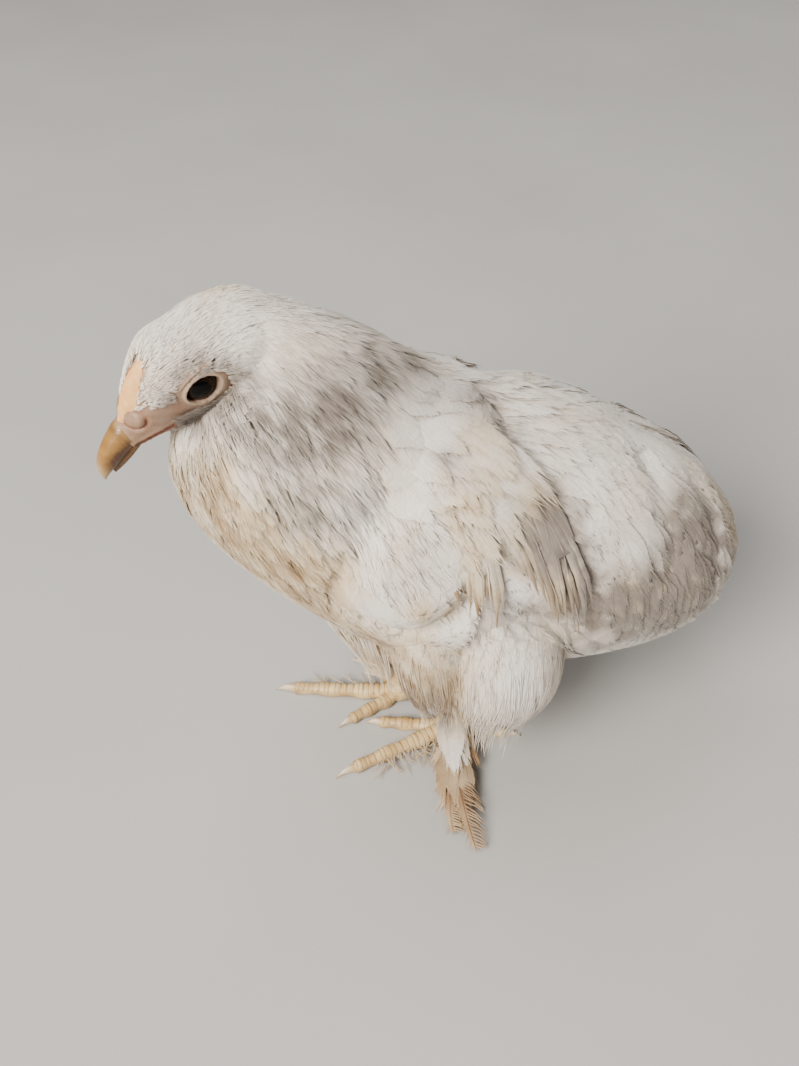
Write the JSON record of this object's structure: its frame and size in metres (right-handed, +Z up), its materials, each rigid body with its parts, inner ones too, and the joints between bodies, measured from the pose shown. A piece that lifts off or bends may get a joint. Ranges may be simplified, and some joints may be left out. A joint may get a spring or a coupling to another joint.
{
  "type": "bantam hen model",
  "caption": "Life-size still model of a young white feather-footed bantam hen, crouching with her head low and wings drooped; rests on her own feet.",
  "frame": {"origin": "centre of the box's footprint, on the floor plane that the feet rest on", "axes": "+Z up, the beak towards -Y, the hen's left side towards +X"},
  "size_m": [0.1024, 0.1926, 0.1751],
  "materials": {
    "plumage": "soft matt feather",
    "skin": "matt bare skin",
    "beak": "satin horn",
    "scale": "dull scaly skin",
    "claw": "satin horn",
    "eye": "wet gloss"
  },
  "bodies": {
    "root": {"beak_lower": "beak", "beak_upper": "beak", "claw_hind_left": "claw", "claw_hind_right": "claw", "claw_inner_left": "claw", "claw_inner_right": "claw", "claw_middle_left": "claw", "claw_middle_right": "claw", "claw_outer_left": "claw", "claw_outer_right": "claw", "comb": "skin", "eye_left": "eye", "eye_right": "eye", "foot_left": "scale", "foot_right": "scale", "head": "plumage", "neck": "plumage", "rump": "plumage", "shank_left": "scale", "shank_right": "scale", "tail": "plumage", "thigh_left": "plumage", "thigh_right": "plumage", "torso": "plumage", "wing_left": "plumage", "wing_right": "plumage"}
  },
  "joints": []
}
